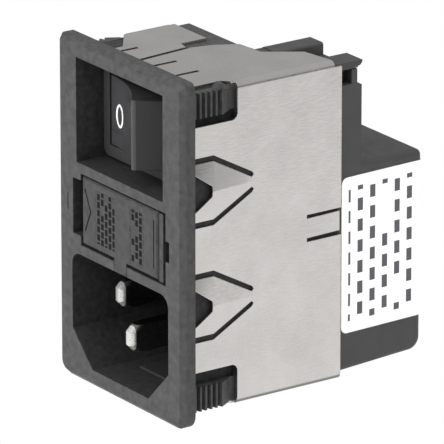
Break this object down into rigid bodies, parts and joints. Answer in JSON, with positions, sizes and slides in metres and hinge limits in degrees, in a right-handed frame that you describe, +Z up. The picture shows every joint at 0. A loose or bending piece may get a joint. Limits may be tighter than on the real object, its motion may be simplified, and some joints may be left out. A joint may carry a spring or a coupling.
{
  "type": "filtered power entry module",
  "caption": "Snap-in power entry module: flanged appliance inlet with rocker switch, fuse drawer, folded metal shield and a filter housing behind",
  "frame": {"origin": "centre of the panel cut-out in the plane of the flange's rear face", "axes": "+X right seen from the front, +Y into the panel, +Z up"},
  "size_m": [0.031, 0.0495, 0.0508],
  "materials": {
    "moulded_charcoal": "fine spark-eroded texture",
    "moulded_black": "smooth moulded",
    "rocker_plastic": "satin moulded",
    "nickel_plate": "bright nickel plating",
    "tinned_sheet": "dull tin plating on cold-rolled strip",
    "tinned_brass": "tin plated",
    "label_film": "plain white film, nothing printed on it",
    "plunger_nylon": "natural nylon",
    "spring_wire": "drawn wire",
    "contact_copper": "rolled copper alloy",
    "ferrite": "coated ferrite ring",
    "winding_copper": "enamelled copper wire",
    "capacitor_case": "moulded box",
    "capacitor_disc": "dipped resin coat",
    "resistor_body": "baked lacquer",
    "fuse_tube": "clear drawn tube"
  },
  "bodies": {
    "housing": {"bleed_resistor": "resistor_body", "choke_core": "ferrite", "choke_winding_left": "winding_copper", "choke_winding_right": "winding_copper", "earth_pin": "nickel_plate", "earth_tab": "tinned_brass", "feed_terminal_lower": "tinned_brass", "feed_terminal_upper": "tinned_brass", "front_housing": "moulded_charcoal", "fuse_contact_front_left": "contact_copper", "fuse_contact_front_right": "contact_copper", "fuse_contact_rear_left": "contact_copper", "fuse_contact_rear_right": "contact_copper", "inlet_insert": "moulded_black", "line_pin": "nickel_plate", "load_tab_lower": "tinned_brass", "load_tab_upper": "tinned_brass", "neutral_pin": "nickel_plate", "rear_housing": "moulded_charcoal", "shield": "tinned_sheet", "side_label": "label_film", "switch_housing": "moulded_black", "x_capacitor": "capacitor_case", "y_capacitor_front": "capacitor_disc", "y_capacitor_rear": "capacitor_disc"},
    "rocker": {"rocker": "rocker_plastic", "plunger_upper": "plunger_nylon", "plunger_lower": "plunger_nylon", "plunger_spring_upper": "spring_wire", "plunger_spring_lower": "spring_wire"},
    "lever_upper": {"contact_lever_upper": "contact_copper"},
    "lever_lower": {"contact_lever_lower": "contact_copper"},
    "drawer": {"fuse_drawer": "moulded_charcoal", "fuse_glass_left": "fuse_tube", "fuse_cap_front_left": "nickel_plate", "fuse_cap_rear_left": "nickel_plate", "fuse_wire_left": "spring_wire", "fuse_glass_right": "fuse_tube", "fuse_cap_front_right": "nickel_plate", "fuse_cap_rear_right": "nickel_plate", "fuse_wire_right": "spring_wire"}
  },
  "joints": [
    {"name": "rocker_pivot", "type": "hinge", "parent": "housing", "child": "rocker", "pos_m": [0, 0.0064, 0.01505], "axis": [0, 0, 1], "range_deg": [0, 41]},
    {"name": "lever_pivot_upper", "type": "hinge", "parent": "housing", "child": "lever_upper", "pos_m": [0, 0.011, 0.01835], "axis": [0, 0, 1], "range_deg": [-16, 0]},
    {"name": "lever_pivot_lower", "type": "hinge", "parent": "housing", "child": "lever_lower", "pos_m": [0, 0.011, 0.01175], "axis": [0, 0, 1], "range_deg": [-16, 0]},
    {"name": "drawer_slide", "type": "slide", "parent": "housing", "child": "drawer", "axis": [0, -1, 0], "range_m": [0, 0.026]}
  ],
  "couplings": [
    {"joint": "lever_pivot_upper", "follows": "rocker_pivot", "ratio": -0.39},
    {"joint": "lever_pivot_lower", "follows": "rocker_pivot", "ratio": -0.39}
  ]
}
